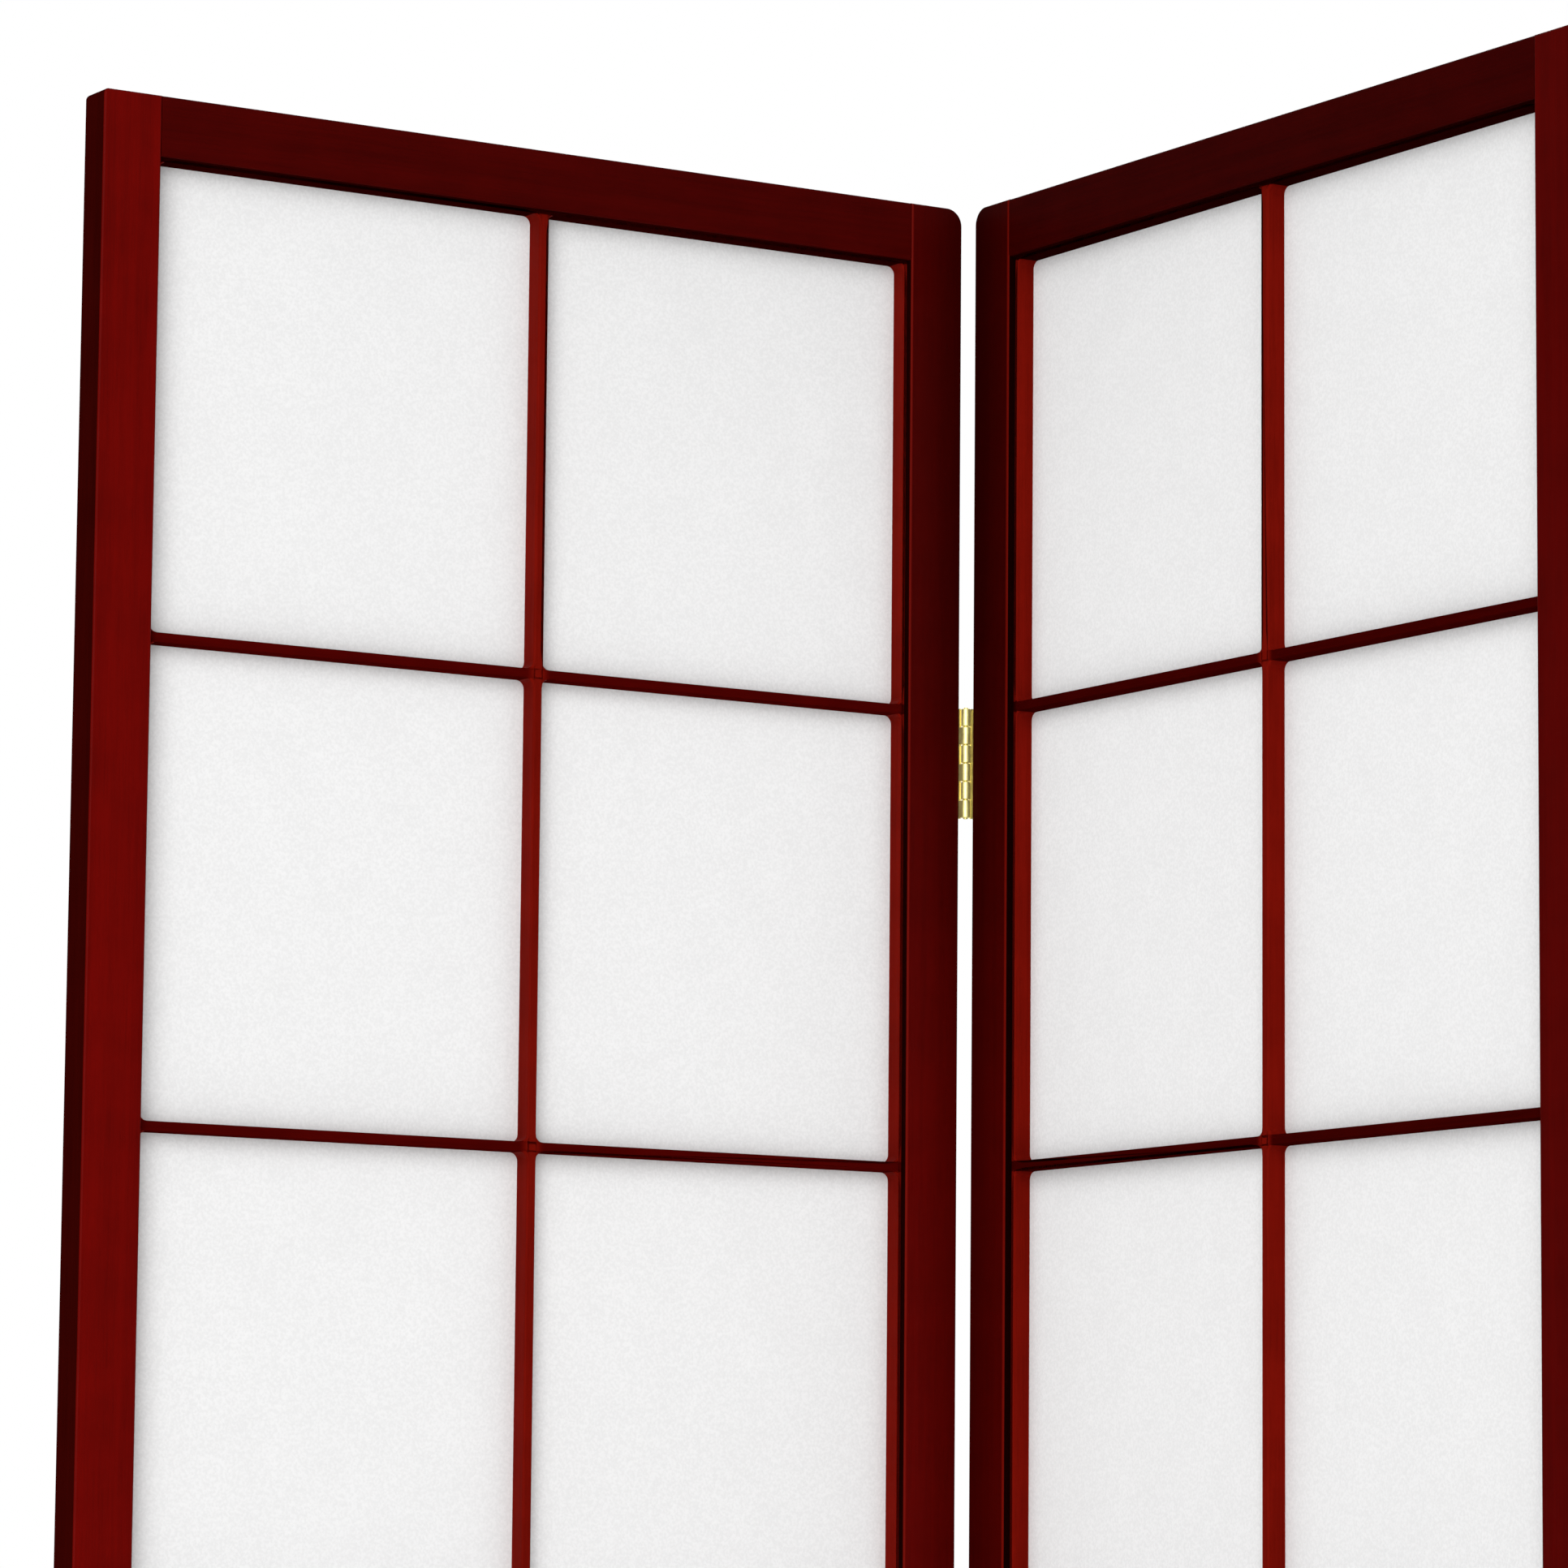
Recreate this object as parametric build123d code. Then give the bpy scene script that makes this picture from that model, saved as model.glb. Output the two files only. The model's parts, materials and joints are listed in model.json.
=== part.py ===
from build123d import *
import os
from math import cos, radians, sin, sqrt

# Folding screen: two lacquered wooden panels with paper panes, joined by two-way
# brass hinges. Millimetres, +Z up, the floor at z = 0.
# A panel is drawn flat, to the right of the hinge gap's middle: x runs towards the
# free edge, y from the front face to the back, z up. The left panel is its mirror
# image, and both are turned about the front hinge pins into the open V.

os.makedirs("parts", exist_ok=True)

# Panel frame
panel_height = 1784.0
panel_width = 444.5
frame_depth = 19.0
stile_face = 28.0
rail_face = 27.0
foot_drop = 47.0
rail_setback = 0.4
edge_ease = 1.0
hinge_corner_round = 8.0
free_corner_round = 2.5
tenon_length = 15.0
tenon_thickness = 8.0
tenon_shoulder = 5.0

# Lattice, paper and beads, in the rabbet behind the front lip
pane_columns = 2
pane_rows = 8
muntin_face = 4.4
lip_depth = 4.2
lattice_depth = 9.2
rabbet_width = 6.0
rim_show = 1.2
tongue_length = 3.0
pane_corner = 1.8
muntin_ease = 0.8
lap_clearance = 0.05
paper_thickness = 0.3
paper_margin = 1.0
bead_show = 3.0
bead_ease = 2.0
bead_setback = 0.3

# Two-way hinges
fold_angle = 90.0
hinge_height = 51.0
hinge_inset = 260.0
knuckle_count = 6
knuckle_gap = 0.3
barrel_radius = 2.2
pin_radius = 1.0
pin_clearance = 0.08
pin_stick_out = 0.4
pin_offset = 1.9
leaf_thickness = 1.0
leaf_margin = 1.5
running_clearance = 0.35

# Worked out from the sizes above
near_edge = barrel_radius
far_edge = near_edge + panel_width
opening_x = (near_edge + stile_face, far_edge - stile_face)
opening_z = (foot_drop + rail_face, panel_height - rail_face)
rabbet_x = (opening_x[0] - rabbet_width, opening_x[1] + rabbet_width)
rabbet_z = (opening_z[0] - rabbet_width, opening_z[1] + rabbet_width)
lattice_x = (opening_x[0] + rim_show, opening_x[1] - rim_show)
lattice_z = (opening_z[0] + rim_show, opening_z[1] - rim_show)
bead_x = (opening_x[0] + bead_show, opening_x[1] - bead_show)
bead_z = (opening_z[0] + bead_show, opening_z[1] - bead_show)
lattice_y = (lip_depth, lip_depth + lattice_depth)
front_half = (lattice_y[0], lattice_y[0] + lattice_depth / 2)
rear_half = (front_half[1], lattice_y[1])
paper_y = (lattice_y[1], lattice_y[1] + paper_thickness)
bead_y = (paper_y[1], frame_depth - bead_setback)
tenon_y = (lip_depth + 1.0, lip_depth + 1.0 + tenon_thickness)
top_tenon_z = (rabbet_z[1] + 2.0, panel_height - tenon_shoulder)
bottom_tenon_z = (foot_drop + tenon_shoulder, rabbet_z[0] - 2.0)
pane_width = (lattice_x[1] - lattice_x[0] - (pane_columns - 1) * muntin_face) / pane_columns
pane_height = (lattice_z[1] - lattice_z[0] - (pane_rows - 1) * muntin_face) / pane_rows
sheet_x = (near_edge - leaf_thickness, near_edge)
knuckle_pitch = hinge_height / knuckle_count
bore_radius = pin_radius + pin_clearance
front_pin_y = -pin_offset
rear_pin_y = frame_depth + pin_offset
hinge_centres = {"top": panel_height - hinge_inset, "bottom": hinge_inset}

# The open V: each panel is turned this far, and the plan's box is centred on the origin
panel_turn = (180.0 - fold_angle) / 2
turn_cos, turn_sin = cos(radians(panel_turn)), sin(radians(panel_turn))
corner_cut = edge_ease * min(turn_cos, turn_sin)
plan_front = pin_offset * turn_cos - far_edge * turn_sin + corner_cut
plan_back = (frame_depth + 2 * pin_offset) * turn_cos + barrel_radius
pin_plan_y = -(plan_front + plan_back) / 2


def block(x, y, z):
    """A box between two values of x, of y and of z."""
    size = Box(x[1] - x[0], y[1] - y[0], z[1] - z[0])
    return Pos((x[0] + x[1]) / 2, (y[0] + y[1]) / 2, (z[0] + z[1]) / 2) * size


def upright_rod(radius, y, z):
    """A vertical cylinder on the gap's middle, between two heights."""
    return Pos(0, y, (z[0] + z[1]) / 2) * Cylinder(radius, z[1] - z[0])


def upright_spans():
    """The two edges of each upright muntin, counted from the hinge."""
    for column in range(1, pane_columns):
        near = lattice_x[0] + column * pane_width + (column - 1) * muntin_face
        yield (near, near + muntin_face)


def cross_spans():
    """The two edges of each cross muntin, counted from the top."""
    for row in range(1, pane_rows):
        upper = lattice_z[1] - row * pane_height - (row - 1) * muntin_face
        yield (upper - muntin_face, upper)


def tenons(z):
    """The two stub tenons of a rail, which are also the mortises they fill."""
    left = block((opening_x[0] - tenon_length, opening_x[0]), tenon_y, z)
    right = block((opening_x[1], opening_x[1] + tenon_length), tenon_y, z)
    return left, right


def stile(at_hinge):
    """A full-height upright of the frame, rabbeted behind its front lip."""
    x = (near_edge, opening_x[0]) if at_hinge else (opening_x[1], far_edge)
    body = block(x, (0, frame_depth), (0, panel_height))
    outer = body.edges().filter_by(Axis.Y).group_by(Axis.X)[0 if at_hinge else -1]
    corner = hinge_corner_round if at_hinge else free_corner_round
    body = fillet(outer.sort_by(Axis.Z)[-1], corner)
    for face in (0, -1):
        body = chamfer(body.faces().sort_by(Axis.Y)[face].edges(), edge_ease)
    rabbet = (rabbet_x[0], x[1]) if at_hinge else (x[0], rabbet_x[1])
    body -= block(rabbet, (lip_depth, frame_depth), rabbet_z)
    for z in (top_tenon_z, bottom_tenon_z):
        body -= tenons(z)[0 if at_hinge else 1]
    return body


def rail(at_top):
    """A rail between the stiles, with its rabbet and its two tenons."""
    z = (opening_z[1], panel_height) if at_top else (foot_drop, opening_z[0])
    body = block(opening_x, (rail_setback, frame_depth - rail_setback), z)
    for face in (0, -1):
        long_edges = body.faces().sort_by(Axis.Y)[face].edges().filter_by(Axis.X)
        body = chamfer(long_edges, edge_ease)
    rabbet = (z[0], rabbet_z[1]) if at_top else (rabbet_z[0], z[1])
    body -= block(opening_x, (lip_depth, frame_depth), rabbet)
    for tenon in tenons(top_tenon_z if at_top else bottom_tenon_z):
        body += tenon
    return body


def eased_strip(x, z, sides, bands):
    """An upright strip of the lattice, splayed out wherever a crosspiece meets it.

    sides holds the edges that face panes, -1 and 1. Each band is the span of a
    crosspiece: the outline is drawn with a stub there, its inner corners and front
    edges are eased, and the stub is then cut away for the crosspiece."""
    middle, reach = (x[0] + x[1]) / 2, pane_corner + 1.0
    edges = {side: x[1] if side > 0 else x[0] for side in sides}
    outline = Pos(middle, (z[0] + z[1]) / 2) * Rectangle(x[1] - x[0], z[1] - z[0])
    for low, high in bands:
        for side, edge in edges.items():
            tip = edge + side * reach
            stub = Rectangle(abs(tip - middle), high - low)
            outline += Pos((tip + middle) / 2, (low + high) / 2) * stub
    outline = chamfer([
        v for v in outline.vertices()
        if any(abs(v.X - edge) < 1e-6 for edge in edges.values())
        and z[0] + 1e-6 < v.Y < z[1] - 1e-6
    ], pane_corner)
    body = Pos(0, lattice_y[0], 0) * extrude(Plane.XZ * outline, -lattice_depth)
    body = chamfer([
        e for e in body.faces().sort_by(Axis.Y)[0].edges()
        if z[0] + 1e-6 < e.center().Z < z[1] - 1e-6
        and any(side * (e.center().X - edge) > -1e-6 for side, edge in edges.items())
    ], muntin_ease)
    for low, high in bands:
        for side, edge in edges.items():
            beyond = tuple(sorted((edge, edge + side * (reach + 1))))
            band = (low - lap_clearance, high + lap_clearance)
            body -= block(beyond, (lattice_y[0] - 1, lattice_y[1] + 1), band)
    return body


def rim_upright(at_hinge):
    """The lattice's own upright edge strip, notched for the crosspieces' tongues."""
    x = (rabbet_x[0], lattice_x[0]) if at_hinge else (lattice_x[1], rabbet_x[1])
    bands = [(rabbet_z[0], lattice_z[0]), *cross_spans(), (lattice_z[1], rabbet_z[1])]
    body = eased_strip(x, rabbet_z, (1,) if at_hinge else (-1,), bands)
    inner = x[1] if at_hinge else x[0]
    notch = (inner - tongue_length, inner) if at_hinge else (inner, inner + tongue_length)
    for band in bands:
        body -= block(notch, (rear_half[0], rear_half[1] + 1), band)
    return body


def upright_muntin(x):
    """A muntin between the top and bottom rims, halved over every cross muntin."""
    z = (lattice_z[0] - tongue_length, lattice_z[1] + tongue_length)
    bands = [(z[0], lattice_z[0]), *cross_spans(), (lattice_z[1], z[1])]
    body = eased_strip(x, z, (-1, 1), bands)
    for band in bands:
        body -= block(x, (front_half[0] - 1, front_half[1]), band)
    return body


def crosspiece(z, eased):
    """A strip across the lattice, tongued into the rims and halved over the uprights.

    eased holds which long front edges face panes: 0 the lower, -1 the upper."""
    body = block(lattice_x, lattice_y, z)
    long_edges = body.faces().sort_by(Axis.Y)[0].edges().filter_by(Axis.X).sort_by(Axis.Z)
    body = chamfer([long_edges[i] for i in eased], muntin_ease)
    tongued = (lattice_x[0] - tongue_length, lattice_x[1] + tongue_length)
    return body + block(tongued, rear_half, z)


def cross_muntin(z):
    body = crosspiece(z, (0, -1))
    for x in upright_spans():
        body -= block(x, (rear_half[0], rear_half[1] + 1), z)
    return body


def rim_crosspiece(at_top):
    """The lattice's top or bottom edge strip, notched for the upright muntins."""
    z = (lattice_z[1], rabbet_z[1]) if at_top else (rabbet_z[0], lattice_z[0])
    body = crosspiece(z, (0,) if at_top else (-1,))
    notch = (z[0], z[0] + tongue_length) if at_top else (z[1] - tongue_length, z[1])
    for x in upright_spans():
        body -= block(x, (rear_half[0], rear_half[1] + 1), notch)
    return body


def bead(outer, inner, axis, nearest):
    """A mitred bead that holds the paper from behind, with its inner back edge eased."""
    outline = make_face(Polyline(*outer, *inner, close=True))
    thickness = bead_y[1] - bead_y[0]
    body = Pos(0, bead_y[0], 0) * extrude(Plane.XZ * outline, -thickness)
    back_edges = body.faces().sort_by(Axis.Y)[-1].edges().filter_by(axis)
    across = Axis.X if axis == Axis.Z else Axis.Z
    return chamfer(back_edges.sort_by(across)[nearest], min(bead_ease, 0.7 * thickness))


def beads():
    """The four beads of a panel by the side of the pane that each lies on."""
    (x0, x1), (z0, z1) = rabbet_x, rabbet_z
    (u0, u1), (w0, w1) = bead_x, bead_z
    return {
        "hinge_side": bead([(x0, z0), (x0, z1)], [(u0, w1), (u0, w0)], Axis.Z, -1),
        "free_side": bead([(x1, z0), (x1, z1)], [(u1, w1), (u1, w0)], Axis.Z, 0),
        "top": bead([(x0, z1), (x1, z1)], [(u1, w1), (u0, w1)], Axis.X, 0),
        "bottom": bead([(x0, z0), (x1, z0)], [(u1, w0), (u0, w0)], Axis.X, -1),
    }


def paper():
    x = (rabbet_x[0] + paper_margin, rabbet_x[1] - paper_margin)
    z = (rabbet_z[0] + paper_margin, rabbet_z[1] - paper_margin)
    return block(x, paper_y, z)


def knuckle_spans(centre, middle_leaf):
    """The heights of a leaf's knuckles: the middle leaf has every other one, and the top."""
    lowest = centre - hinge_height / 2
    for i in range(knuckle_count):
        if (i % 2 == 1) == middle_leaf:
            low = lowest + i * knuckle_pitch
            yield (low + knuckle_gap / 2, low + knuckle_pitch - knuckle_gap / 2)


def clear_of_barrel(sheet_edge):
    """How far from a pin's plane a sheet must stop to pass the other leaf's knuckles."""
    return sqrt((barrel_radius + running_clearance) ** 2 - sheet_edge ** 2)


def knuckle(pin_y, sheet, plate_end, span):
    """A rolled knuckle and the bit of sheet that joins it to its plate."""
    ring = upright_rod(barrel_radius, pin_y, span)
    neck = block(sheet, tuple(sorted((pin_y, plate_end))), span)
    return ring + neck - upright_rod(bore_radius, pin_y, span)


def outer_leaf(centre, at_front):
    """The leaf on a stile's edge, with knuckles on the front or the rear pin."""
    z = (centre - hinge_height / 2, centre + hinge_height / 2)
    notch = clear_of_barrel(sheet_x[0])
    if at_front:
        pin_y, y = front_pin_y, (front_pin_y + notch, frame_depth - leaf_margin)
    else:
        pin_y, y = rear_pin_y, (leaf_margin, rear_pin_y - notch)
    body = block(sheet_x, y, z)
    for span in knuckle_spans(centre, False):
        body += knuckle(pin_y, sheet_x, y[0] if at_front else y[1], span)
    return body


def middle_leaf(centre):
    """The leaf that links the front and rear pins, pierced where the screws are driven."""
    z = (centre - hinge_height / 2, centre + hinge_height / 2)
    sheet = (-leaf_thickness / 2, leaf_thickness / 2)
    notch = clear_of_barrel(sheet[1])
    y = (front_pin_y + notch, rear_pin_y - notch)
    body = block(sheet, y, z)
    for span in knuckle_spans(centre, True):
        body += knuckle(front_pin_y, sheet, y[0], span)
        body += knuckle(rear_pin_y, sheet, y[1], span)
    return body


def hinge_pin(centre, y):
    half = hinge_height / 2 + pin_stick_out
    return upright_rod(pin_radius, y, (centre - half, centre + half))


def panel_parts():
    """Every wooden and paper piece of a panel, by name."""
    parts = {
        "hinge_stile": stile(True),
        "free_stile": stile(False),
        "top_rail": rail(True),
        "bottom_rail": rail(False),
        "hinge_side_rim": rim_upright(True),
        "free_side_rim": rim_upright(False),
        "top_rim": rim_crosspiece(True),
        "bottom_rim": rim_crosspiece(False),
        "paper": paper(),
    }
    for number, x in enumerate(upright_spans(), 1):
        parts[f"upright_muntin_{number}"] = upright_muntin(x)
    for number, z in enumerate(cross_spans(), 1):
        parts[f"cross_muntin_{number}"] = cross_muntin(z)
    for side, piece in beads().items():
        parts[f"{side}_bead"] = piece
    return parts


def in_place(shape, side):
    """Turns a piece drawn flat into the open V. A left piece is mirrored first."""
    turn = panel_turn if side == "left" else -panel_turn
    drawn = mirror(shape, about=Plane.YZ) if side == "left" else shape
    return Pos(0, pin_plan_y, 0) * Rot(0, 0, turn) * Pos(0, pin_offset, 0) * drawn


nodes = {}
for piece_name, piece in panel_parts().items():
    nodes[f"left_{piece_name}"] = in_place(piece, "left")
    nodes[f"right_{piece_name}"] = in_place(piece, "right")
for place_name, height in hinge_centres.items():
    hinge = f"{place_name}_hinge"
    nodes[f"{hinge}_left_leaf"] = in_place(outer_leaf(height, True), "left")
    nodes[f"{hinge}_right_leaf"] = in_place(outer_leaf(height, False), "right")
    nodes[f"{hinge}_middle_leaf"] = in_place(middle_leaf(height), "right")
    nodes[f"{hinge}_front_pin"] = in_place(hinge_pin(height, front_pin_y), "right")
    nodes[f"{hinge}_rear_pin"] = in_place(hinge_pin(height, rear_pin_y), "right")

for node_name, shape in nodes.items():
    export_step(shape, f"parts/{node_name}.step")

link_length = frame_depth + 2 * pin_offset
print("front pin axis", 0.0, round(pin_plan_y, 4))
print("rear pin axis", round(link_length * turn_sin, 4), round(pin_plan_y + link_length * turn_cos, 4))
print("pane", round(pane_width, 2), round(pane_height, 2))
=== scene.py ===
"""A folding shoji screen: two lacquered panels with paper panes, standing open in a V."""

import json
import math
from contextlib import contextmanager

import bmesh
import bpy
from mathutils import Matrix, Vector


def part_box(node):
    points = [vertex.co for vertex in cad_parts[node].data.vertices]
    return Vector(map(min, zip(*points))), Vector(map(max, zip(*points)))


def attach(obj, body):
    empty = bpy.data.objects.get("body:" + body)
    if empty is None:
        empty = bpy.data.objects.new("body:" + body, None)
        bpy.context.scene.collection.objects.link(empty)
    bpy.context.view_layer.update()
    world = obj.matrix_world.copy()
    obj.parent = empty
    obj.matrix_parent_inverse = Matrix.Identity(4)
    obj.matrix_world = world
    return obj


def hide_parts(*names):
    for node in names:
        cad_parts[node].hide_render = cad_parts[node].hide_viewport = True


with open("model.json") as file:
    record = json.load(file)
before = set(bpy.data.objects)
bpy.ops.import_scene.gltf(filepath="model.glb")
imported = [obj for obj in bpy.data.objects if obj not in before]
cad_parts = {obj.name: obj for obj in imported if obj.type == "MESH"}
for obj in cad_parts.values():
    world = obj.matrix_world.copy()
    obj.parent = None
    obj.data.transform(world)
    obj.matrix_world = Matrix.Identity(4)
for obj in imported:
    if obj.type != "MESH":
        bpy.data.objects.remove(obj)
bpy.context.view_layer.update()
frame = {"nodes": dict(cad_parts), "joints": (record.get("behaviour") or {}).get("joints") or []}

bl_info = {
    "name": "Folding shoji screen",
    "version": (1, 0, 0),
    "blender": (4, 5, 0),
    "location": "View3D > Sidebar > Screen",
    "description": "Models a folding screen with a halved lattice, paper panes and two-way hinges",
    "category": "Object",
}

MM = 0.001
SIDES = ("left", "right")
HINGES = ("top", "bottom")
BORDERS = ("hinge_side", "free_side", "top", "bottom")

TOUCHING = 1e-5  # metres within which two places are one
MERGED = 1e-6  # metres within which two vertices become one
SCORED = 0.1 * MM  # how far inside the panes the lattice's faces are divided
OVERSHOOT = 5 * MM  # how far a cutting tool reaches past what it cuts
SMOOTH_BELOW = math.radians(35)  # sharper bends are shaded as edges


def pin(joint_name):
    """Where a hinge joint's axis meets the floor."""
    joint = next(j for j in frame["joints"] if j["name"] == joint_name)
    return Vector((*joint["pos_m"][:2], 0))


FRONT_PIN, REAR_PIN = pin("front_fold"), pin("rear_fold")
LINK = REAR_PIN - FRONT_PIN
STILE_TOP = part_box("right_hinge_stile")[1].z


def length(title, text, default):
    """A property that holds a length in metres."""
    return bpy.props.FloatProperty(
        name=title, description=text, default=default, min=0, unit="LENGTH", precision=4
    )


def colour(title, text, default):
    """A property that holds a linear colour."""
    return bpy.props.FloatVectorProperty(
        name=title, description=text, default=default, size=3, min=0, max=1, subtype="COLOR"
    )


class PanelSizes(bpy.types.PropertyGroup):
    """Sizes of a panel's frame, rabbet and beads."""

    width: length("Panel width", "Width of one panel", 444.5 * MM)
    height: length("Panel height", "Height of the stiles", STILE_TOP)
    depth: length("Frame depth", "Thickness of the stiles", 19 * MM)
    stile: length("Stile face", "Width of a stile seen from the front", 28 * MM)
    rail: length("Rail face", "Height of a rail seen from the front", 27 * MM)
    foot: length("Foot", "How far the stiles stand below the bottom rail", 47 * MM)
    setback: length("Rail setback", "How far the rails lie behind the stiles' face", 0.4 * MM)
    edge: length("Eased edge", "Radius of the frame's long edges", 1.2 * MM)
    hinge_corner: length("Hinge corner", "Radius of the top corner by the hinges", 8 * MM)
    free_corner: length("Free corner", "Radius of the outer top corner", 2.5 * MM)
    lip: length("Lip", "Depth of the frame's lip before the lattice", 4.2 * MM)
    rabbet: length("Rabbet", "How far the lattice reaches behind the lip", 6 * MM)
    bead: length("Bead", "How far the beads reach into the opening", 3 * MM)
    bead_edge: length("Bead edge", "Radius of the beads' inner edge", 2.2 * MM)
    bead_setback: length("Bead setback", "How far the beads lie before the back", 0.3 * MM)


class LatticeSizes(bpy.types.PropertyGroup):
    """Sizes of the lattice."""

    columns: bpy.props.IntProperty(
        name="Columns", description="Panes side by side", default=2, min=1
    )
    rows: bpy.props.IntProperty(
        name="Rows", description="Panes one above the other", default=8, min=1
    )
    muntin: length("Muntin face", "Width of a muntin seen from the front", 4.4 * MM)
    depth: length("Lattice depth", "Thickness of the muntins", 9.2 * MM)
    rim: length("Rim", "How much of the lattice's rim shows inside the frame", 1.2 * MM)
    corner: length("Pane corner", "Radius of the panes' corners", 3.8 * MM)
    edge: length("Muntin edge", "Radius of the muntins' front edges", 1.1 * MM)
    paper: length("Paper", "Thickness of the paper", 0.3 * MM)


class HingeSizes(bpy.types.PropertyGroup):
    """Sizes of a two-way hinge."""

    knuckles: bpy.props.IntProperty(
        name="Knuckles", description="Knuckles on each pin", default=6, min=3
    )
    gap: length("Knuckle gap", "Gap between two knuckles", 0.3 * MM)
    barrel: length("Barrel", "Radius of the knuckles", 2.2 * MM)
    pin: length("Pin", "Radius of the pins", 1 * MM)
    bore: length("Bore", "Radius of the knuckles' bore", 1.08 * MM)
    head: length("Pin end", "How far the pins stick out", 0.4 * MM)
    leaf: length("Leaf", "Thickness of the leaves", 1 * MM)
    margin: length("Leaf margin", "How far the leaves end before the stile's edge", 1.5 * MM)
    clearance: length("Clearance", "Room between a leaf and a passing knuckle", 0.35 * MM)
    screw_head: length("Screw head", "Radius of the screw heads", 2.6 * MM)
    screws: bpy.props.IntProperty(
        name="Screws", description="Screws in each outer leaf", default=3, min=1
    )


class Finishes(bpy.types.PropertyGroup):
    """Colours of the lacquer, the paper and the brass."""

    # Painted sheen: the upright members' colours are lighter than the rails' and cross muntins'
    # for the sheen along their grain, the same lacquer lit differently.
    free_stile: colour("Free stiles", "Lacquer on the outer stiles", (0.118, 0.0014, 0.0006))
    # Painted shade: the hinge stiles are the free stiles' lacquer darkened for the shade in the
    # fold between the panels.
    hinge_stile: colour("Hinge stiles", "Lacquer on the inner stiles", (0.088, 0.0012, 0.0006))
    rail: colour("Rails", "Lacquer on the rails", (0.050, 0.0009, 0.0005))
    muntin: colour("Muntins", "Lacquer on the upright muntins", (0.140, 0.0040, 0.0016))
    cross_muntin: colour("Cross muntins", "Lacquer on the cross muntins", (0.060, 0.0010, 0.0006))
    # Painted shade: the stiles' sides are their faces' lacquer darkened for the light they turn
    # away from.
    stile_edge: colour("Stile edges", "Lacquer on the stiles' sides", (0.034, 0.0012, 0.0006))
    # Painted shade: the rails' upper and lower sides are their fronts' lacquer darkened, as in
    # shadow.
    rail_edge: colour(
        "Rail edges", "Lacquer on the rails' upper and lower sides", (0.022, 0.0005, 0.0003)
    )
    # Painted shade: near black for the shadowed groove between the stiles' faces and the lattice.
    lip: colour("Lip", "Lacquer on the stiles' sides before the lattice", (0.009, 0.0006, 0.0004))
    bead: colour("Beads", "Lacquer on the upright beads", (0.090, 0.0014, 0.0007))
    cross_bead: colour("Cross beads", "Lacquer on the level beads", (0.072, 0.0012, 0.0006))
    # Painted shade: the right panel's lacquer is darkened by this factor for the less light that
    # falls on it.
    right_painted_shade: bpy.props.FloatProperty(
        name="Right panel", description="How dark the right panel's lacquer is beside the left's",
        default=0.62, min=0, max=1,
    )
    paper: colour("Paper", "Rice paper", (0.84, 0.84, 0.84))
    brass: colour("Brass", "Brass of the hinges", (0.97, 0.83, 0.32))
    floor: colour("Floor", "Studio floor", (0.86, 0.86, 0.86))


GROUPS = {
    "screen_panel": PanelSizes,
    "screen_lattice": LatticeSizes,
    "screen_hinge": HingeSizes,
    "screen_finish": Finishes,
}


# Where things lie on a panel drawn flat, to the right of the hinge gap's middle:
# x runs to the free edge, y from the front face to the back, z up.


def panel():
    """The sizes of a panel."""
    return bpy.context.scene.screen_panel


def lattice():
    """The sizes of the lattice."""
    return bpy.context.scene.screen_lattice


def hinge():
    """The sizes of a hinge."""
    return bpy.context.scene.screen_hinge


def finish_colours():
    """The colours of the finishes."""
    return bpy.context.scene.screen_finish


def opening():
    """The frame's opening, as spans of x and z."""
    left = hinge().barrel + panel().stile
    right = hinge().barrel + panel().width - panel().stile
    low = panel().foot + panel().rail
    return (left, right), (low, panel().height - panel().rail)


def grown(spans, by):
    """Spans made larger by the same amount at each end."""
    return [(low - by, high + by) for low, high in spans]


def pin_offset():
    """How far a hinge pin's axis lies before the panel's face."""
    return (LINK.length - panel().depth) / 2


def placing(side):
    """The matrix that puts a panel drawn flat where it stands in the open V."""
    back = LINK.normalized()
    across = Vector((back.y, -back.x, 0))
    origin = FRONT_PIN + pin_offset() * back
    right = Matrix.Translation(origin) @ Matrix((across, back, (0, 0, 1))).transposed().to_4x4()
    return right if side == "right" else Matrix.Scale(-1, 4, (1, 0, 0)) @ right


def lattice_lines(low, high, count):
    """The spans of the muntins that divide a length into equal panes."""
    width = lattice().muntin
    pane = (high - low - (count - 1) * width) / count
    return [(low + n * (pane + width) - width, low + n * (pane + width)) for n in range(1, count)]


def pane_spans(low, high, count):
    """The spans of the panes between those muntins."""
    edges = [low, *(edge for line in lattice_lines(low, high, count) for edge in line), high]
    return list(zip(edges[::2], edges[1::2]))


# Modelling


def activate(piece):
    """Leaves edit mode and selects one piece only."""
    if bpy.context.mode != "OBJECT":
        bpy.ops.object.mode_set(mode="OBJECT")
    bpy.ops.object.select_all(action="DESELECT")
    piece.select_set(True)
    bpy.context.view_layer.objects.active = piece


@contextmanager
def editing(piece, kind="EDGE"):
    """Edit mode with nothing selected, which hands over the mesh to select in."""
    activate(piece)
    bpy.ops.object.mode_set(mode="EDIT")
    bpy.ops.mesh.select_mode(type=kind)
    bpy.ops.mesh.select_all(action="DESELECT")
    yield bmesh.from_edit_mesh(piece.data)
    bpy.ops.object.mode_set(mode="OBJECT")


def near(a, b):
    """Whether two coordinates are the same place."""
    return abs(a - b) < TOUCHING


def both_at(edge, axis, value):
    """Whether both ends of an edge have one value on an axis."""
    return all(near(vertex.co[axis], value) for vertex in edge.verts)


def runs_along(edge, axis):
    """Whether an edge is parallel to an axis."""
    a, b = edge.verts
    return all(near(a.co[i], b.co[i]) for i in range(3) if i != axis)


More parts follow.
